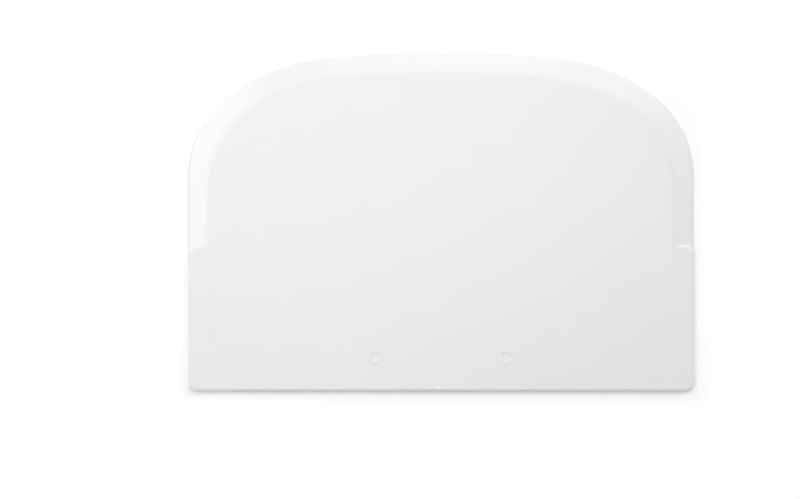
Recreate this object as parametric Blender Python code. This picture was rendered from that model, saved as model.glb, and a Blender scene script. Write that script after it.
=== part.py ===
"""A plastic scraper for dough: one D-shaped plate, thinned to a bevel round its curved edge.

Frame: X runs along the straight edge, Y from the straight edge to the crown of the curved edge,
and Z up from the underside. The origin is on the surface that the plate lies on, under the
middle of the plate. Sizes are in metres and angles in degrees.

The shapes are drawn with Y counted from the straight edge. The plate object is then moved back
by half its depth, which puts the origin in the middle.
"""
import math

import bmesh
import bpy

# The plate
WIDTH = 0.148               # along the straight edge
DEPTH = 0.0992              # from the straight edge to the crown
THICKNESS = 0.0020
EDGE_RADIUS = 0.0005        # rounding of the rim, above and below
CORNER_RADIUS = 0.0024      # the two corners of the straight edge, in plan

# The curved edge, from its crown to the straight side: tangent arcs of these radii and turns.
# The crown's own radius isn't listed, because it follows from the width.
RIM_TURNS = (5.7, 31.7, 52.6)
RIM_RADII = (0.054, 0.030)

# The bevel: a slope from the full thickness at its inner line to a thin lip at the rim
LIP = 0.0007                # thickness left at the rim
SIDE_BEVEL = 0.0059         # width of the slope along the sides
CROWN_BEVEL = 0.0061        # width of the slope at the crown
INNER_TURNS = (2.4, 16.6, 71.0)
INNER_RADII = (0.110, 0.0298)
BEVEL_END = 0.0428          # height above the straight edge where the slope stops
RUNOUT_RADIUS = 0.0035      # rounding of the full thickness where the slope stops, in plan

# Marks that the mould leaves
PIN_RADIUS = 0.0015         # ejector pins
PIN_DEPTH = 0.00010
PIN_SPACING = 0.0382
PIN_HEIGHT = 0.0101
PIT_RADIUS = 0.0006         # a small pit in the face
PIT_DEPTH = 0.00008
PIT_PLACE = (-0.0066, 0.0230)
GATE_RADIUS = 0.0006        # the trimmed gate, a low stub beside the straight edge
GATE_HEIGHT = 0.00012
GATE_PLACE = (-0.0010, 0.0010)

# How finely round shapes are cut
ARC_PIECE = 0.0022          # length of one straight piece of the curved edge
CORNER_STEP = 15.0          # degrees of a corner in one straight piece
RIM_STEPS = 2               # bevel_resolution of the rim's rounding
PIN_SIDES = 32
PIT_SIDES = 16

# How far cutters run past what they cut
CLEAR = 0.0010
OVERRUN = 0.25              # of the slope's width, on both sides of it
SIDE_CLEAR = 0.0001         # keeps the stop's side off the plate's own side
SAME_POINT = 0.000002       # points of the cut plate nearer than this become one

COLOUR = (0.86, 0.86, 0.855, 1.0)
ROUGHNESS = 0.42


def tangent_arcs(half_width, top, turns, radii):
    """Arcs from the middle of a crown to a vertical side, each tangent to the next.

    An arc is (first heading, last heading, radius, centre X, centre Y). Heading 0 is the crown,
    where the outline runs along X, and heading 90 is the side. The first radius is whatever
    the other arcs leave of the half width.
    """
    headings = [0.0]
    for turn in turns:
        headings.append(headings[-1] + turn)
    taken = 0.0
    for index, radius in enumerate(radii, start=1):
        first = math.radians(headings[index])
        last = math.radians(headings[index + 1])
        taken += radius * (math.sin(last) - math.sin(first))
    radius = (half_width - taken) / math.sin(math.radians(turns[0]))

    centre_x = 0.0
    centre_y = top - radius
    arcs = [(headings[0], headings[1], radius, centre_x, centre_y)]
    for index, next_radius in enumerate(radii, start=1):
        heading = math.radians(headings[index])
        centre_x += (radius - next_radius) * math.sin(heading)
        centre_y += (radius - next_radius) * math.cos(heading)
        radius = next_radius
        arcs.append((headings[index], headings[index + 1], radius, centre_x, centre_y))
    return arcs


def arc_at(arcs, heading):
    """The arc of a chain that runs at this heading."""
    for arc in arcs:
        if heading <= arc[1]:
            return arc
    return arcs[-1]


def point_at(arcs, heading):
    """The point of a chain of arcs where it runs at this heading."""
    _, _, radius, centre_x, centre_y = arc_at(arcs, heading)
    angle = math.radians(heading)
    return (centre_x + radius * math.sin(angle), centre_y + radius * math.cos(angle))


def headings_of(*chains):
    """Headings from 0 to 90, with every place where one arc of a chain meets the next."""
    joints = {0.0, 90.0}
    for chain in chains:
        for arc in chain:
            joints.add(round(arc[1], 6))
    joints = sorted(joints)
    headings = [0.0]
    for first, last in zip(joints, joints[1:]):
        middle = (first + last) / 2
        radius = max(arc_at(chain, middle)[2] for chain in chains)
        steps = math.ceil(radius * math.radians(last - first) / ARC_PIECE)
        for step in range(1, steps + 1):
            headings.append(first + (last - first) * step / steps)
    return headings


def corner_points(centre_x, centre_y, radius, start, turn):
    """A round corner as points, from the start angle through the turn."""
    steps = math.ceil(abs(turn) / CORNER_STEP)
    points = []
    for step in range(steps + 1):
        angle = math.radians(start + turn * step / steps)
        points.append((centre_x + radius * math.cos(angle), centre_y + radius * math.sin(angle)))
    return points


def with_left_half(right_half):
    """A closed outline from its right half, which runs from bottom to top."""
    left_half = [(-x, y) for x, y in reversed(right_half) if x > 0.0]
    return right_half + left_half


def rim_arcs():
    return tangent_arcs(WIDTH / 2, DEPTH, RIM_TURNS, RIM_RADII)


def inner_arcs():
    return tangent_arcs(WIDTH / 2 - SIDE_BEVEL, DEPTH - CROWN_BEVEL, INNER_TURNS, INNER_RADII)


def plate_outline():
    """The plate's outline in plan."""
    rim = rim_arcs()
    middle = WIDTH / 2 - CORNER_RADIUS
    right_half = corner_points(middle, CORNER_RADIUS, CORNER_RADIUS, -90.0, 90.0)
    for heading in reversed(headings_of(rim)):
        right_half.append(point_at(rim, heading))
    return with_left_half(right_half)


def stop_outline():
    """The part of the plate that keeps its full thickness right up to its sides."""
    side = WIDTH / 2 + SIDE_CLEAR
    right_half = [(side, -CLEAR)]
    right_half += corner_points(side - RUNOUT_RADIUS, BEVEL_END - RUNOUT_RADIUS, RUNOUT_RADIUS, 0.0, 90.0)
    return with_left_half(right_half)


def flat_solid(name, outline, height, edge_radius=0.0):
    """A closed mesh of a flat outline, with its middle at Z 0, from a filled 2D curve."""
    curve = bpy.data.curves.new(name, "CURVE")
    curve.dimensions = "2D"
    curve.fill_mode = "BOTH"
    curve.extrude = height / 2 - edge_radius
    curve.bevel_depth = edge_radius
    curve.bevel_resolution = RIM_STEPS
    curve.offset = -edge_radius
    spline = curve.splines.new("POLY")
    spline.points.add(len(outline) - 1)
    for point, (x, y) in zip(spline.points, outline):
        point.co = (x, y, 0.0, 1.0)
    spline.use_cyclic_u = True

    drawn = bpy.data.objects.new(name + "_curve", curve)
    bpy.context.scene.collection.objects.link(drawn)
    bpy.context.view_layer.update()
    mesh = bpy.data.meshes.new_from_object(drawn.evaluated_get(bpy.context.evaluated_depsgraph_get()))
    bpy.data.objects.remove(drawn)
    mesh.name = name

    welded = bmesh.new()
    welded.from_mesh(mesh)
    bmesh.ops.remove_doubles(welded, verts=welded.verts, dist=1e-6)
    bmesh.ops.recalc_face_normals(welded, faces=welded.faces)
    welded.to_mesh(mesh)
    welded.free()
    return mesh


def slope_section(inner, outer):
    """Four corners of the slope's cutter between a point of the inner line and one of the rim."""
    run_x = (outer[0] - inner[0]) * OVERRUN
    run_y = (outer[1] - inner[1]) * OVERRUN
    rise = (THICKNESS - LIP) * OVERRUN
    top = THICKNESS + rise + CLEAR
    inside = (inner[0] - run_x, inner[1] - run_y)
    outside = (outer[0] + run_x, outer[1] + run_y)
    return [
        (*inside, THICKNESS + rise),
        (*outside, LIP - rise),
        (*outside, top),
        (*inside, top),
    ]


def slope_mesh():
    """The slope's cutter: a loft from one side, over the crown, to the other side."""
    rim = rim_arcs()
    inner = inner_arcs()
    foot = BEVEL_END - RUNOUT_RADIUS - CLEAR
    right_half = [slope_section((WIDTH / 2 - SIDE_BEVEL, foot), (WIDTH / 2, foot))]
    for heading in reversed(headings_of(rim, inner)):
        right_half.append(slope_section(point_at(inner, heading), point_at(rim, heading)))
    left_half = [[(-x, y, z) for x, y, z in section] for section in reversed(right_half[:-1])]

    loft = bmesh.new()
    rings = [[loft.verts.new(corner) for corner in section] for section in right_half + left_half]
    for ring, following in zip(rings, rings[1:]):
        for corner in range(4):
            after = (corner + 1) % 4
            loft.faces.new((ring[corner], ring[after], following[after], following[corner]))
    loft.faces.new(rings[0])
    loft.faces.new(rings[-1])
    bmesh.ops.recalc_face_normals(loft, faces=loft.faces)
    mesh = bpy.data.meshes.new("bevel_cutter")
    loft.to_mesh(mesh)
    loft.free()
    return mesh


def add_object(name, mesh, collection, height=0.0):
    thing = bpy.data.objects.new(name, mesh)
    thing.location = (0.0, -DEPTH / 2, height)
    collection.objects.link(thing)
    return thing


def add_cutter(name, mesh, collection, height=0.0):
    cutter = add_object(name, mesh, collection, height)
    cutter.hide_render = True
    cutter.display_type = "WIRE"
    return cutter


def add_round_tool(name, collection, radius, sides, place, bottom, top):
    """An upright cylinder that a Boolean takes away from the plate, or joins to it."""
    cylinder = bmesh.new()
    bmesh.ops.create_cone(
        cylinder, cap_ends=True, segments=sides, radius1=radius, radius2=radius, depth=top - bottom
    )
    mesh = bpy.data.meshes.new(name)
    cylinder.to_mesh(mesh)
    cylinder.free()
    tool = add_cutter(name, mesh, collection, (top + bottom) / 2)
    tool.location.x += place[0]
    tool.location.y += place[1]
    return tool


def add_boolean(thing, tool, operation):
    boolean = thing.modifiers.new(tool.name, "BOOLEAN")
    boolean.object = tool
    boolean.operation = operation
    boolean.solver = "EXACT"


def white_plastic():
    material = bpy.data.materials.new("white_plastic")
    material.use_nodes = True
    shader = material.node_tree.nodes["Principled BSDF"]
    shader.inputs["Base Color"].default_value = COLOUR
    shader.inputs["Roughness"].default_value = ROUGHNESS
    shader.inputs["Metallic"].default_value = 0.0
    return material


def build():
    for thing in list(bpy.data.objects):
        bpy.data.objects.remove(thing)
    parts = bpy.data.collections.new("bench_scraper")
    cutters = bpy.data.collections.new("cutters")
    bpy.context.scene.collection.children.link(parts)
    bpy.context.scene.collection.children.link(cutters)

    plate_mesh = flat_solid("scraper_plate", plate_outline(), THICKNESS, EDGE_RADIUS)
    plate = add_object("scraper_plate", plate_mesh, parts, THICKNESS / 2)
    plate.data.materials.append(white_plastic())

    slope = add_cutter("bevel_cutter", slope_mesh(), cutters)
    stop_mesh = flat_solid("bevel_stop", stop_outline(), 4 * THICKNESS)
    stop = add_cutter("bevel_stop", stop_mesh, cutters, THICKNESS)
    add_boolean(slope, stop, "DIFFERENCE")
    add_boolean(plate, slope, "DIFFERENCE")

    for side, sign in (("left", -1.0), ("right", 1.0)):
        place = (sign * PIN_SPACING / 2, PIN_HEIGHT)
        bottom = THICKNESS - PIN_DEPTH
        pin = add_round_tool(
            side + "_pin_mark", cutters, PIN_RADIUS, PIN_SIDES, place, bottom, THICKNESS + CLEAR
        )
        add_boolean(plate, pin, "DIFFERENCE")
    pit = add_round_tool(
        "pit", cutters, PIT_RADIUS, PIT_SIDES, PIT_PLACE, THICKNESS - PIT_DEPTH, THICKNESS + CLEAR
    )
    add_boolean(plate, pit, "DIFFERENCE")
    gate = add_round_tool(
        "gate_stub", cutters, GATE_RADIUS, PIT_SIDES, GATE_PLACE, THICKNESS / 2, THICKNESS + GATE_HEIGHT
    )
    add_boolean(plate, gate, "UNION")
    weld = plate.modifiers.new("weld", "WELD")
    weld.merge_threshold = SAME_POINT

    plate.data.shade_smooth()
    plate.data.set_sharp_from_angle(angle=math.radians(30.0))


build()
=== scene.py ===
"""Looks of a plastic dough scraper: a D-shaped plate of white polypropylene on a pale studio floor.

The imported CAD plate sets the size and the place. This script makes the plate's fine surface
in that place, with its moulded detail, and adds its material, the floor, the lights and the
camera. Lengths are in metres. In plan, X runs along the straight edge from its middle and Y
is counted from the straight edge towards the crown of the curved edge.
"""
import math

import bpy
import numpy as np
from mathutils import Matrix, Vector, geometry, noise


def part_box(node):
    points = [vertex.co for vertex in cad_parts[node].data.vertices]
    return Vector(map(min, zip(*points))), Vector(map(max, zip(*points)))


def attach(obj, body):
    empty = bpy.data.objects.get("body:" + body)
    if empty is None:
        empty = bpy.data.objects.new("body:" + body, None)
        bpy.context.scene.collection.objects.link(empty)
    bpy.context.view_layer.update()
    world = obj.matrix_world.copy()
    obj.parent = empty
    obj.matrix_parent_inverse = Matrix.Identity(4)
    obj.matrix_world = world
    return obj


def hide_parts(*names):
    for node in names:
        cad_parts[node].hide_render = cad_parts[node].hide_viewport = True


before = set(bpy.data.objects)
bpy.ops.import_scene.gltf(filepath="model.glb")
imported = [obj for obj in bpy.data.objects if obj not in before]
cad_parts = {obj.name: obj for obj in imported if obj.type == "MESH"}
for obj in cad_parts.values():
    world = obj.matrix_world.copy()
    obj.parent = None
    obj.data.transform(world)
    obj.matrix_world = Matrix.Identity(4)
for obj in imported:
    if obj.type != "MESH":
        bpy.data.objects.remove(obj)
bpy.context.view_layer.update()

MM = 0.001
NODE = "scraper_plate"
LOW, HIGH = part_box(NODE)

# The plate, with the CAD's own dimensions
HALF_WIDTH = (HIGH.x - LOW.x) / 2
DEPTH = HIGH.y - LOW.y
GATE_HEIGHT = 0.12 * MM                     # the trimmed gate stands this far above the face
THICKNESS = HIGH.z - LOW.z - GATE_HEIGHT
CORNER_RADIUS = 2.4 * MM                    # the two corners of the straight edge
RIM_TURNS = (5.7, 31.7, 52.6)               # degrees of the curved edge's arcs, from the crown
RIM_RADII = (54.0 * MM, 30.0 * MM)          # of the second arc and the third
LIP = 0.7 * MM                              # thickness left at the rim of the bevel
SIDE_BEVEL = 5.9 * MM                       # width of the bevel along the sides
CROWN_BEVEL = 6.1 * MM                      # and at the crown
INNER_TURNS = (2.4, 16.6, 71.0)             # the same arcs for the crease, the bevel's inner line
INNER_RADII = (110.0 * MM, 29.8 * MM)
BEVEL_END = 42.8 * MM                       # where the bevel stops, at a step
RUNOUT_RADIUS = 3.5 * MM                    # how the step turns down to the side, in plan
PIN_RADIUS = 1.5 * MM
PIN_PLACES = ((-19.1 * MM, 10.1 * MM), (19.1 * MM, 10.1 * MM))
PIT_RADIUS = 0.6 * MM
PIT_PLACE = (-6.6 * MM, 23.0 * MM)
PIT_DEPTH = 0.08 * MM
GATE_RADIUS = 0.6 * MM
GATE_PLACE = (-1.0 * MM, 1.0 * MM)

# Fine shape
TOP_ROUNDING = 0.34                         # of the rim, as a share of its thickness
UNDER_ROUNDING = 0.40
UNDERCUT = 0.25                             # of what the bevel takes off, the share that lifts the rim
UNDERCUT_WIDTH = 2.5 * MM
CREASE_BLEND = 0.10 * MM                    # how softly the bevel meets the face
STEP_BLEND = 0.25 * MM                      # how softly the face turns down into the step
FOOT_BLEND = 0.20 * MM                      # how softly the step meets the bevel
STEP_RUN = 1.10 * MM                        # how far the step leans out, in plan
SIDE_CLEAR = 0.20 * MM                      # keeps the step's outline off the straight side
PIN_DEPTHS = (0.07 * MM, 0.12 * MM)         # the right ejector-pin mark is bolder than the left one
PIN_BURR = 0.06 * MM                        # the raised ring round them
BURR_PLACE = 1.20                           # the top of that ring, in pin radii
BURR_WIDTH = 0.30
PIN_WALL = (0.50, 1.00)                     # from the floor of the mark to the face, in pin radii
PIT_WALL = (0.3, 1.0)                       # the same in pit radii
GATE_WALL = (0.6, 1.2)                      # from the top of the stub to the face, in gate radii
SINK = 0.012 * MM                           # slow waves of the moulded face
SINK_LENGTH = 28.0 * MM
WAVER = 0.02 * MM                           # unevenness of the rim in plan
WAVER_LENGTH = 7.0 * MM
SINK_SEED = 8.0                             # picks the slow waves' noise
WAVER_SEED = 3.0                            # picks the rim's noise
INNER_CORNER = 0.35 * CORNER_RADIUS         # corner of the mesh's own lines inside the plate
SEAM_CORNER = 0.20 * CORNER_RADIUS

# Mesh
SEAM_INSET = 1.6 * MM                       # from the crease to the seam with the flat middle
COARSE = 0.70 * MM                          # spacing along the rim
FINE = 0.10 * MM                            # spacing beside the step and the gate
CORNER_STEPS = 20
ROUND_STEPS = 8
SLOPE_STEPS = 36
SEAM_STEPS = 6
WALL_STEPS = 3
UNDER_STEPS = 6
GRID = 2.0 * MM                             # spacing of points in the flat middle
PIN_RINGS = (0.3, 0.5, 0.58, 0.66, 0.74, 0.82, 0.9, 0.98, 1.06, 1.15, 1.25, 1.36, 1.5, 1.68, 1.9, 2.3)
PIN_SIDES = 64
PIT_RINGS = (0.3, 0.5, 0.7, 0.85, 1.0, 1.3, 2.0)
PIT_SIDES = 28

# Studio
FLOOR_SIZE = 40.0
FLOOR_GAP = 0.02 * MM                       # the floor lies just under the plate
VIEW_WIDTH = 235.2 * MM                     # floor seen across the picture
VIEW_CENTRE = (-11.98 * MM, 41.45 * MM)     # the middle of the picture, in plan
LENS = 90.0                                 # millimetres, on a sensor 36 mm wide
SENSOR = 36.0
WALL_LIGHT = 1.00                           # of the room, at eye level
CEILING_LIGHT = 0.27
WALL_TOP = 0.12                             # sine of the height where the wall starts to dim
CEILING_START = 0.35                        # and of the height where it has become the ceiling
SOFTBOXES = (                               # name, azimuth, elevation, distance, size, share of light
    ("overhead", 120.0, 82.0, 0.8, (0.40, 0.40), 0.21),
    ("left", 161.0, 54.0, 0.8, (0.60, 0.30), 0.28),
    ("top", 80.0, 51.0, 0.8, (0.60, 0.30), 0.17),
    ("right_key", 45.0, 38.0, 0.8, (0.30, 0.40), 0.12),
)
FLOOR_TONE = 0.95
FIBRE_SIZE = 0.8 * MM                       # of the floor's paper
FIBRE_HEIGHT = 0.005 * MM
FLOOR_SHAPE = (1.0, 1.45, 1.0)              # the far glow's rings are this much wider than deep
FAR_GLOW = 0.62                             # the floor's own, where the softboxes' light ends
FALL_OFF = 0.80                             # where the softboxes' light has fallen to a quarter
VIEW_GLOW = 0.08                            # added beside the plate, clear of its contact shadow
VIEW_GLOW_START = 0.5 * MM                  # outside the plate's box
VIEW_GLOW_END = 7.0 * MM

# Plastic
TONE = 0.783                                # of light that the full thickness sends back
GATE_WHITENING_AND_HIGHLIGHT_TONE = 0.91                            # where the gate was broken off: the plastic's own whitening and a painted highlight on the stub
THIN_PAINTED_GLOW_TONE = 0.81                            # of the bevel: a painted glow, colour made lighter for the floor's light shining through the lip
THIN = 1.7 * MM                             # where the plate starts to count as thin
ROUGHNESS = 0.25
GRAIN_SIZE = 0.38 * MM                      # texture of the mould
GRAIN_HEIGHT = 0.0018 * MM
PEEL_SIZE = 4.5 * MM                        # slow waviness of the moulded face
PEEL_HEIGHT = 0.006 * MM
PATCH_SIZE = 30.0 * MM                      # cloudiness of the plastic
PATCH_TONE = 0.014                          # what it changes from its lowest value to its highest
PATCH_ROUGHNESS = 0.06
GRAIN_TONE = 0.006
HAIRLINE_WIDTH = 0.12 * MM                  # scratches of use
HAIRLINE_LENGTH = 16.0 * MM
HAIRLINE_DEPTH = 0.0004 * MM
HAIRLINE_TONE = -0.003
HAIRLINE_ROUGHNESS = 0.05
HAIRLINE_HEADINGS = (24.0, -58.0)           # degrees
HAIRLINE_RARITY = 0.80                      # only noise above this makes a scratch
HAIRLINE_EDGE = 0.06                        # and has its full depth this much further up


def world_place(x, y, z=0.0):
    """A plan place as a point in the frame."""
    return Vector((x + (LOW.x + HIGH.x) / 2, y + LOW.y, z + LOW.z))


# ---------------------------------------------------------------- plan and height of the plate

def smooth_min(a, b, reach):
    """The smaller of a and b, with the corner between them rounded over this reach."""
    overlap = np.maximum(reach - np.abs(a - b), 0.0) / np.maximum(reach, 1e-9)
    return np.minimum(a, b) - overlap * overlap * reach / 4


def smooth_max(a, b, reach):
    return -smooth_min(-a, -b, reach)


def smooth_step(low, high, value):
    share = np.clip((value - low) / (high - low), 0.0, 1.0)
    return share * share * (3.0 - 2.0 * share)


class Arcs:
    """Tangent arcs from the middle of a crown to a vertical side, found by their heading.

    Heading 0 is the crown and 90 is the side. The first radius is whatever the other arcs
    leave of the half width.
    """

    def __init__(self, half_width, top, turns, radii):
        self.turns = [sum(turns[:index]) for index in range(len(turns) + 1)]
        taken = 0.0
        for index, radius in enumerate(radii, start=1):
            first = math.sin(math.radians(self.turns[index]))
            last = math.sin(math.radians(self.turns[index + 1]))
            taken += radius * (last - first)
        crown_radius = (half_width - taken) / math.sin(math.radians(turns[0]))
        self.radii = [crown_radius, *radii]
        self.centres = [(0.0, top - crown_radius)]
        for index in range(1, len(self.radii)):
            angle = math.radians(self.turns[index])
            shift = self.radii[index - 1] - self.radii[index]
            x, y = self.centres[-1]
            self.centres.append((x + shift * math.sin(angle), y + shift * math.cos(angle)))

    def index_at(self, heading):
        for index in range(len(self.radii)):
            if heading <= self.turns[index + 1]:
                return index
        return len(self.radii) - 1

    def at(self, heading):
        """The point where the arcs run at this heading."""
        index = self.index_at(heading)
        x, y = self.centres[index]
        angle = math.radians(heading)
        radius = self.radii[index]
        return (x + radius * math.sin(angle), y + radius * math.cos(angle))


RIM = Arcs(HALF_WIDTH, DEPTH, RIM_TURNS, RIM_RADII)
CREASE = Arcs(HALF_WIDTH - SIDE_BEVEL, DEPTH - CROWN_BEVEL, INNER_TURNS, INNER_RADII)


def stop_depth(x, y):
    """How far a point lies inside the part of the plate that keeps its full thickness."""
    corner_x = HALF_WIDTH + SIDE_CLEAR - RUNOUT_RADIUS
    corner_y = BEVEL_END - STEP_RUN / 2 - RUNOUT_RADIUS
    past_x = np.abs(x) - corner_x
    past_y = y - corner_y
    outside = np.hypot(np.maximum(past_x, 0.0), np.maximum(past_y, 0.0))
    inside = np.minimum(np.maximum(past_x, past_y), 0.0)
    return RUNOUT_RADIUS - outside - inside


def face_height(x, y, slope_share):
    """Height of the face without its marks. slope_share is 0 at the rim and 1 at the crease."""
    slope = LIP + (THICKNESS - LIP) * slope_share
    stop = THICKNESS + stop_depth(x, y) * (THICKNESS - LIP) / STEP_RUN
    slope = smooth_min(THICKNESS, slope, CREASE_BLEND)
    stop = smooth_min(THICKNESS, stop, STEP_BLEND)
    room = THICKNESS - np.maximum(slope, stop)
    return smooth_max(slope, stop, np.minimum(FOOT_BLEND, room))


def gate_share(x, y):
    """1 on the stub of the gate, 0 away from it."""
    away = np.hypot(x - GATE_PLACE[0], y - GATE_PLACE[1]) / GATE_RADIUS
    return 1.0 - smooth_step(*GATE_WALL, away)


def mark_height(x, y):
    """What the mould's pins, a pit and the gate add to the face's height."""
    height = np.zeros(len(x))
    for place, depth in zip(PIN_PLACES, PIN_DEPTHS):
        away = np.hypot(x - place[0], y - place[1]) / PIN_RADIUS
        height -= depth * (1.0 - smooth_step(*PIN_WALL, away))
        height += PIN_BURR * np.exp(-((away - BURR_PLACE) / BURR_WIDTH) ** 2)
    away = np.hypot(x - PIT_PLACE[0], y - PIT_PLACE[1]) / PIT_RADIUS
    height -= PIT_DEPTH * (1.0 - smooth_step(*PIT_WALL, away))
    return height + GATE_HEIGHT * gate_share(x, y)


def slow_waves(plan, length, seed):
    """Smooth noise at plan points, roughly between -1 and 1, with waves of this length."""
    return np.array([noise.noise(Vector((x / length, y / length, seed))) for x, y in plan])


# ------------------------------------------------------------------------- stations of the rim
# A station is three plan points: on the rim, on the crease and on the seam with the flat middle.

def blend_points(first, last, share):
    return tuple(
        tuple(a + (b - a) * share for a, b in zip(start, end)) for start, end in zip(first, last)
    )


def straight_run(first, last, spacing):
    """Stations from the first to just before the last."""
    steps = max(1, math.ceil(math.dist(first[0], last[0]) / spacing))
    return [blend_points(first, last, step / steps) for step in range(steps)]


def edge_station(x):
    """A station of the straight edge."""
    return ((x, 0.0), (x, SIDE_BEVEL), (x, SIDE_BEVEL + SEAM_INSET))


def side_station(y, inner_y=None):
    """A station of the straight side."""
    inner_y = y if inner_y is None else inner_y
    inner_x = HALF_WIDTH - SIDE_BEVEL
    return ((HALF_WIDTH, y), (inner_x, inner_y), (inner_x - SEAM_INSET, inner_y))


def corner_point(inset, radius, angle):
    """A point of a round corner whose two sides lie this far inside the plate's."""
    x = HALF_WIDTH - inset - radius * (1.0 - math.cos(angle))
    y = inset + radius * (1.0 + math.sin(angle))
    return (x, y)


def corner_station(angle):
    """A station of the straight edge's corner. The angle runs from -90 degrees to 0."""
    return (
        corner_point(0.0, CORNER_RADIUS, angle),
        corner_point(SIDE_BEVEL, INNER_CORNER, angle),
        corner_point(SIDE_BEVEL + SEAM_INSET, SEAM_CORNER, angle),
    )


def arc_station(heading):
    """A station of the curved edge."""
    angle = math.radians(heading)
    x, y = CREASE.at(heading)
    seam = (x - SEAM_INSET * math.sin(angle), y - SEAM_INSET * math.cos(angle))
    return (RIM.at(heading), (x, y), seam)


def right_stations():
    """Stations of the plate's right half, from the middle of the straight edge to the crown."""
    gate_end = abs(GATE_PLACE[0]) + 2 * GATE_RADIUS
    level_x = 0.8 * HALF_WIDTH
    level_y = 0.4 * BEVEL_END
    step_low = BEVEL_END - RUNOUT_RADIUS - STEP_RUN
    step_high = BEVEL_END + 2 * STEP_RUN
    arcs_start = side_station(RIM.at(90.0)[1], CREASE.at(90.0)[1])

    stations = straight_run(edge_station(0.0), edge_station(gate_end), FINE)
    stations += straight_run(edge_station(gate_end), edge_station(level_x), COARSE)
    stations += straight_run(edge_station(level_x), corner_station(-math.pi / 2), COARSE)
    for step in range(CORNER_STEPS):
        stations.append(corner_station(math.pi / 2 * (step / CORNER_STEPS - 1.0)))
    stations += straight_run(corner_station(0.0), side_station(level_y), COARSE)
    stations += straight_run(side_station(level_y), side_station(step_low), COARSE)
    stations += straight_run(side_station(step_low), side_station(step_high), FINE)
    stations += straight_run(side_station(step_high), arcs_start, COARSE)
    for index in reversed(range(len(RIM.radii))):
        first, last = RIM.turns[index + 1], RIM.turns[index]
        steps = math.ceil(RIM.radii[index] * math.radians(first - last) / COARSE)
        for step in range(steps):
            stations.append(arc_station(first + (last - first) * step / steps))
    stations.append(arc_station(0.0))
    return stations


def all_stations():
    """The rim, the crease and the seam as arrays of points, anticlockwise round the plate."""
    right = right_stations()
    left = [tuple((-x, y) for x, y in station) for station in right[-2:0:-1]]
    closed = np.array(right + left)
    return closed[:, 0], closed[:, 1], closed[:, 2]


# ------------------------------------------------------------------------------ the plate's mesh

def plate_rings():
    """Rings of points from the face's seam, over the rim, to the underside's seam.

    Each ring is (plan points, heights, thickness of the plate at those points).
    """
    rim, crease, seam = all_stations()
    width = np.linalg.norm(crease - rim, axis=1)
    towards = (crease - rim) / width[:, None]
    rim = rim + towards * (WAVER * slow_waves(rim, WAVER_LENGTH, WAVER_SEED))[:, None]
    rim_height = face_height(rim[:, 0], rim[:, 1], np.zeros(len(rim)))
    radius = TOP_ROUNDING * rim_height
    under_radius = UNDER_ROUNDING * rim_height
    lift = UNDERCUT * (THICKNESS - rim_height)
    rings = []

    def inset(away):
        return rim + towards * away[:, None]

    def face_ring(plan, slope_share, below=0.0):
        thickness = face_height(plan[:, 0], plan[:, 1], slope_share)
        height = thickness - below + mark_height(plan[:, 0], plan[:, 1])
        rings.append((plan, height, thickness))

    for step in range(SEAM_STEPS):
        share = 1.0 - step / SEAM_STEPS
        face_ring(crease + (seam - crease) * share, 1.0 + share * SEAM_INSET / width)
    for step in range(SLOPE_STEPS + 1):
        share = (1.0 - step / SLOPE_STEPS) ** 1.15
        away = radius + (width - radius) * share
        face_ring(inset(away), away / width)
    for step in range(1, ROUND_STEPS + 1):
        angle = math.pi / 2 * (1.0 - step / ROUND_STEPS)
        away = radius * (1.0 - math.cos(angle))
        face_ring(inset(away), away / width, radius * (1.0 - math.sin(angle)))
    for step in range(1, WALL_STEPS):
        upper = rim_height - radius
        lower = lift + under_radius
        rings.append((rim, upper + (lower - upper) * step / WALL_STEPS, rim_height))
    for step in range(ROUND_STEPS + 1):
        angle = math.pi / 2 * step / ROUND_STEPS
        away = under_radius * (1.0 - math.cos(angle))
        rings.append((inset(away), lift + under_radius * (1.0 - math.sin(angle)), rim_height))
    for step in range(1, UNDER_STEPS + 1):
        share = (step / UNDER_STEPS) ** 2
        plan = inset(under_radius) * (1.0 - share) + seam * share
        along = under_radius * (1.0 - share) + (width + SEAM_INSET) * share
        thickness = face_height(plan[:, 0], plan[:, 1], along / width)
        rings.append((plan, lift * (1.0 - smooth_step(0.0, UNDERCUT_WIDTH, along)), thickness))
    return rings


def rings_round(place, radii, sides):
    """A place and points on circles round it, for the mesh to follow a small mark."""
    points = [place]
    for index, radius in enumerate(radii):
        for side in range(sides):
            angle = 2 * math.pi * (side + 0.5 * (index % 2)) / sides
            points.append((place[0] + radius * math.cos(angle), place[1] + radius * math.sin(angle)))
    return points


def clear_inside(loop, x, y, margin):
    """True if a point lies inside a closed loop, and clear of it by this margin."""
    following = np.roll(loop, -1, axis=0)
    crosses = (loop[:, 1] > y) != (following[:, 1] > y)
    rise = np.where(crosses, following[:, 1] - loop[:, 1], 1.0)
    at = loop[:, 0] + (y - loop[:, 1]) * (following[:, 0] - loop[:, 0]) / rise
    inside = np.count_nonzero(crosses & (at > x)) % 2 == 1
    return inside and np.hypot(loop[:, 0] - x, loop[:, 1] - y).min() > margin


def middle_points(seam):
    """Points inside the seam: rings round the marks, and a staggered grid elsewhere."""
    points = []
    marks = []
    for place in PIN_PLACES:
        points += rings_round(place, [PIN_RADIUS * ring for ring in PIN_RINGS], PIN_SIDES)
        marks.append((place, PIN_RADIUS * PIN_RINGS[-1]))
    points += rings_round(PIT_PLACE, [PIT_RADIUS * ring for ring in PIT_RINGS], PIT_SIDES)
    marks.append((PIT_PLACE, PIT_RADIUS * PIT_RINGS[-1]))

    low = seam.min(axis=0)
    size = seam.max(axis=0) - low
    columns = int(size[0] / GRID)
    rows = int(size[1] / (GRID * math.sqrt(0.75)))
    for row in range(1, rows):
        for column in range(columns):
            x = low[0] + (column + 0.5 * (row % 2)) * size[0] / columns
            y = low[1] + row * size[1] / rows
            beside_mark = any(math.dist((x, y), place) < reach + 0.4 * GRID for place, reach in marks)
            if not beside_mark and clear_inside(seam, x, y, 0.5 * GRID):
                points.append((x, y))
    return points


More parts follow.
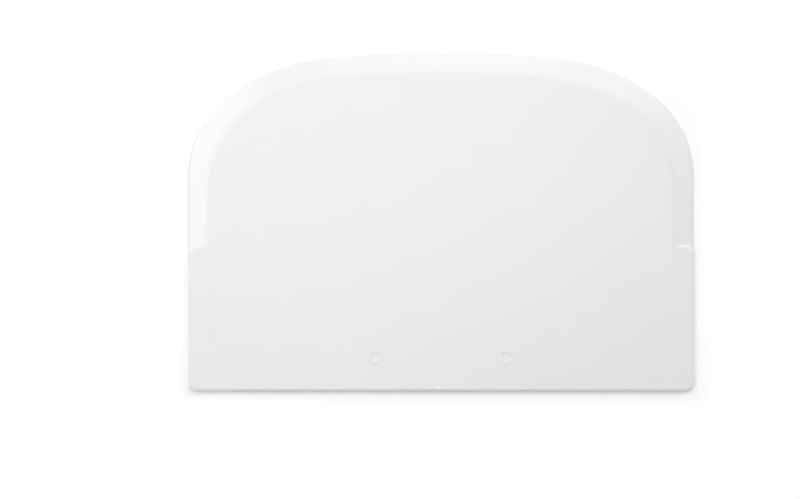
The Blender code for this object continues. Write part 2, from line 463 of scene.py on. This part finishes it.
def plate_mesh():
    """The closed mesh of the plate, with its thickness stored at each point."""
    rings = plate_rings()
    count = len(rings[0][0])
    seam = rings[0][0]
    plan = np.concatenate([ring[0] for ring in rings])
    height = np.concatenate([ring[1] for ring in rings])
    thickness = np.concatenate([ring[2] for ring in rings])

    faces = []
    for ring in range(len(rings) - 1):
        start = ring * count
        for station in range(count):
            after = (station + 1) % count
            faces.append((start + station, start + count + station, start + count + after, start + after))

    middle = np.array(middle_points(seam))
    outline = [Vector(point) for point in seam]
    loose = [Vector(point) for point in middle]
    filled = geometry.delaunay_2d_cdt(outline + loose, [], [list(range(count))], 1, 1e-8)
    if len(filled[0]) != count + len(middle):
        raise ValueError("the flat middle's points were merged")
    top_start = len(plan)
    under_start = top_start + len(middle)
    last_ring = (len(rings) - 1) * count
    for triangle in filled[2]:
        top = [corner if corner < count else top_start + corner - count for corner in triangle]
        under = [
            last_ring + corner if corner < count else under_start + corner - count
            for corner in reversed(triangle)
        ]
        faces += [top, under]
    full = np.full(len(middle), THICKNESS)
    plan = np.concatenate([plan, middle, middle])
    height = np.concatenate([height, full + mark_height(middle[:, 0], middle[:, 1]), 0.0 * full])
    thickness = np.concatenate([thickness, full, full])

    above = smooth_step(0.9, 1.0, height / THICKNESS)
    height = height + SINK * above * slow_waves(plan, SINK_LENGTH, SINK_SEED)
    mesh = bpy.data.meshes.new("moulded_plate")
    points = [world_place(x, y, z) for (x, y), z in zip(plan, height)]
    mesh.from_pydata(points, [], faces)
    mesh.attributes.new("thickness", "FLOAT", "POINT")
    mesh.attributes["thickness"].data.foreach_set("value", thickness.astype(np.float32))
    # mask of the gate stub, for its whitening and its painted highlight
    mesh.attributes.new("gate_whitening_and_highlight", "FLOAT", "POINT")
    mesh.attributes["gate_whitening_and_highlight"].data.foreach_set("value", gate_share(*plan.T).astype(np.float32))
    mesh.validate()
    mesh.shade_smooth()
    return mesh


# ----------------------------------------------------------------------------------- materials

def add_node(tree, kind, inputs=None, **settings):
    """A shader node with its settings, and with values or links for its inputs."""
    made = tree.nodes.new(kind)
    for name, value in settings.items():
        setattr(made, name, value)
    for name, value in (inputs or {}).items():
        if isinstance(value, bpy.types.NodeSocket):
            tree.links.new(value, made.inputs[name])
        else:
            made.inputs[name].default_value = value
    return made


def math_node(tree, kind, operation, values):
    """A Math or Vector Math node, with values or links for its inputs. Returns its first output."""
    inputs = dict(enumerate(values))
    return add_node(tree, kind, inputs, operation=operation).outputs[0]


def value_node(tree, operation, *values):
    return math_node(tree, "ShaderNodeMath", operation, values)


def vector_node(tree, operation, *values):
    return math_node(tree, "ShaderNodeVectorMath", operation, values)


def noise_value(tree, place, size, detail=0.0):
    """Noise between 0 and 1, around 0.5, with lumps of this size in metres."""
    made = add_node(tree, "ShaderNodeTexNoise", {"Vector": place, "Scale": 1.0 / size, "Detail": detail})
    return made.outputs["Fac"]


def fade(tree, value, low, high):
    """0 where the value is below low and 1 where it is above high, with a smooth change between."""
    inputs = {"Value": value, "From Min": low, "From Max": high}
    return add_node(tree, "ShaderNodeMapRange", inputs, interpolation_type="SMOOTHSTEP").outputs["Result"]


def scratches(tree, place, heading, length):
    """Sparse straight hairlines in one direction, as a value between 0 and 1."""
    turned = add_node(
        tree, "ShaderNodeMapping",
        {
            "Vector": place, "Rotation": (0.0, 0.0, math.radians(heading)),
            "Scale": (1.0, length / HAIRLINE_WIDTH, 1.0),
        },
        vector_type="TEXTURE",
    ).outputs["Vector"]
    scratch = noise_value(tree, turned, HAIRLINE_WIDTH)
    return fade(tree, scratch, HAIRLINE_RARITY, HAIRLINE_RARITY + HAIRLINE_EDGE)


def combined(tree, start, *terms):
    """A number plus terms, each a pair of a factor and a linked value."""
    total = start
    for factor, value in terms:
        total = value_node(tree, "MULTIPLY_ADD", value, factor, total)
    return total


def white_plastic():
    """Satin polypropylene: textured face, orange peel, hairlines, and light that gets through thin parts,
    partly by subsurface scattering and partly as a painted glow that lightens the bevel's colour.
    """
    material = bpy.data.materials.new("white_polypropylene")
    material.use_nodes = True
    tree = material.node_tree
    shader = tree.nodes["Principled BSDF"]
    place = add_node(tree, "ShaderNodeTexCoord").outputs["Object"]
    grain = noise_value(tree, place, GRAIN_SIZE, 1.0)
    peel = noise_value(tree, place, PEEL_SIZE, 1.0)
    patches = noise_value(tree, place, PATCH_SIZE, 2.0)
    hairlines = value_node(
        tree, "MAXIMUM",
        scratches(tree, place, HAIRLINE_HEADINGS[0], HAIRLINE_LENGTH),
        scratches(tree, place, HAIRLINE_HEADINGS[1], 0.6 * HAIRLINE_LENGTH),
    )

    height = combined(
        tree, 0.0, (GRAIN_HEIGHT, grain), (PEEL_HEIGHT, peel), (-HAIRLINE_DEPTH, hairlines),
    )
    bump = add_node(tree, "ShaderNodeBump", {"Height": height, "Strength": 1.0, "Distance": 1.0})
    tree.links.new(bump.outputs["Normal"], shader.inputs["Normal"])

    roughness = combined(
        tree, ROUGHNESS - PATCH_ROUGHNESS / 2, (PATCH_ROUGHNESS, patches), (HAIRLINE_ROUGHNESS, hairlines),
    )
    tree.links.new(roughness, shader.inputs["Roughness"])

    thickness = add_node(tree, "ShaderNodeAttribute", attribute_name="thickness").outputs["Fac"]
    # painted glow: the colour gets lighter where the plate is thin, standing in for the floor's light
    # shining through it
    thin_painted_glow = add_node(
        tree, "ShaderNodeMapRange",
        {"Value": thickness, "From Min": THICKNESS, "From Max": THIN, "To Max": THIN_PAINTED_GLOW_TONE - TONE},
    ).outputs["Result"]
    # the gate stub is lighter: whitened plastic and a painted highlight
    gate_whitening_and_highlight = add_node(tree, "ShaderNodeAttribute", attribute_name="gate_whitening_and_highlight").outputs["Fac"]
    tone = combined(
        tree, TONE - (PATCH_TONE + GRAIN_TONE) / 2, (1.0, thin_painted_glow), (PATCH_TONE, patches), (GRAIN_TONE, grain),
        (HAIRLINE_TONE, hairlines), (GATE_WHITENING_AND_HIGHLIGHT_TONE - TONE, gate_whitening_and_highlight),
    )
    colour = add_node(tree, "ShaderNodeCombineColor", {"Red": tone, "Green": tone, "Blue": tone})
    tree.links.new(colour.outputs["Color"], shader.inputs["Base Color"])

    shader.inputs["IOR"].default_value = 1.49
    shader.inputs["Subsurface Weight"].default_value = 0.25
    shader.inputs["Subsurface Radius"].default_value = (1.0, 0.95, 0.90)
    shader.inputs["Subsurface Scale"].default_value = 0.9 * MM
    return material


def floor_material():
    """White paper. Its glow makes up for the softboxes' fall-off with distance."""
    material = bpy.data.materials.new("pale_floor")
    material.use_nodes = True
    tree = material.node_tree
    shader = tree.nodes["Principled BSDF"]
    place = add_node(tree, "ShaderNodeTexCoord").outputs["Object"]
    fibres = noise_value(tree, place, FIBRE_SIZE, 3.0)
    bump = add_node(tree, "ShaderNodeBump", {"Height": fibres, "Strength": 1.0, "Distance": FIBRE_HEIGHT})
    tree.links.new(bump.outputs["Normal"], shader.inputs["Normal"])

    level = add_node(tree, "ShaderNodeMapping", {"Vector": place, "Scale": FLOOR_SHAPE}).outputs["Vector"]
    away = add_node(tree, "ShaderNodeVectorMath", {"Vector": level}, operation="LENGTH").outputs["Value"]
    reach = value_node(tree, "DIVIDE", away, FALL_OFF)
    spread = value_node(tree, "MULTIPLY_ADD", reach, reach, 1.0)
    kept = value_node(tree, "POWER", spread, -2.0)
    corner = (HALF_WIDTH, DEPTH / 2, 0.0)
    from_middle = vector_node(tree, "ABSOLUTE", place)
    past_box = vector_node(tree, "SUBTRACT", from_middle, corner)
    outside = vector_node(tree, "MAXIMUM", past_box, (0.0, 0.0, 0.0))
    clear = add_node(tree, "ShaderNodeVectorMath", {"Vector": outside}, operation="LENGTH").outputs["Value"]
    outward = fade(tree, clear, VIEW_GLOW_START, VIEW_GLOW_END)
    glow = combined(tree, FAR_GLOW, (-FAR_GLOW, kept), (VIEW_GLOW, outward))
    tree.links.new(glow, shader.inputs["Emission Strength"])
    shader.inputs["Emission Color"].default_value = (1.0, 1.0, 1.0, 1.0)
    shader.inputs["Base Color"].default_value = (FLOOR_TONE, FLOOR_TONE, FLOOR_TONE, 1.0)
    shader.inputs["Roughness"].default_value = 0.9
    shader.inputs["Specular IOR Level"].default_value = 0.0
    return material


# -------------------------------------------------------------------------------------- studio

def add_plate():
    plate = bpy.data.objects.new("moulded_plate", plate_mesh())
    bpy.context.scene.collection.objects.link(plate)
    plate.data.materials.append(white_plastic())
    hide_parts(NODE)
    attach(plate, "root")


def add_floor():
    bpy.ops.mesh.primitive_plane_add(size=FLOOR_SIZE, location=(0.0, 0.0, LOW.z - FLOOR_GAP))
    floor = bpy.context.object
    floor.name = "floor"
    floor.data.materials.append(floor_material())


def add_world():
    """A pale room: bright walls at eye level under a dimmer ceiling."""
    world = bpy.data.worlds.new("studio")
    world.use_nodes = True
    tree = world.node_tree
    direction = add_node(tree, "ShaderNodeTexCoord").outputs["Generated"]
    upward = add_node(tree, "ShaderNodeSeparateXYZ", {"Vector": direction}).outputs["Z"]
    strength = add_node(
        tree, "ShaderNodeMapRange",
        {
            "Value": upward, "From Min": WALL_TOP, "From Max": CEILING_START,
            "To Min": WALL_LIGHT, "To Max": CEILING_LIGHT,
        },
        interpolation_type="SMOOTHSTEP",
    )
    background = tree.nodes["Background"]
    background.inputs["Color"].default_value = (1.0, 1.0, 1.0, 1.0)
    tree.links.new(strength.outputs["Result"], background.inputs["Strength"])
    bpy.context.scene.world = world


def add_softbox(name, azimuth, elevation, distance, size, share):
    """A rectangular lamp that faces the plate. share is what it adds to the light on the floor there."""
    light = bpy.data.lights.new(name, "AREA")
    light.shape = "RECTANGLE"
    light.size = size[0]
    light.size_y = size[1]
    light.energy = share * (math.pi * distance) ** 2 / math.sin(math.radians(elevation))
    softbox = bpy.data.objects.new(name, light)
    turn = math.radians(azimuth)
    rise = math.radians(elevation)
    direction = Vector((math.cos(rise) * math.cos(turn), math.cos(rise) * math.sin(turn), math.sin(rise)))
    softbox.location = direction * distance
    softbox.rotation_euler = direction.to_track_quat("Z", "Y").to_euler()
    bpy.context.scene.collection.objects.link(softbox)


def add_camera():
    camera_data = bpy.data.cameras.new("camera")
    camera_data.lens = LENS
    camera_data.sensor_width = SENSOR
    camera = bpy.data.objects.new("camera", camera_data)
    distance = VIEW_WIDTH * LENS / SENSOR
    camera.location = world_place(*VIEW_CENTRE, distance)
    camera_data.clip_end = 10.0
    bpy.context.scene.collection.objects.link(camera)
    bpy.context.scene.camera = camera


bpy.context.scene.view_settings.view_transform = "Standard"
add_camera()
add_plate()
add_floor()
add_world()
for softbox in SOFTBOXES:
    add_softbox(*softbox)
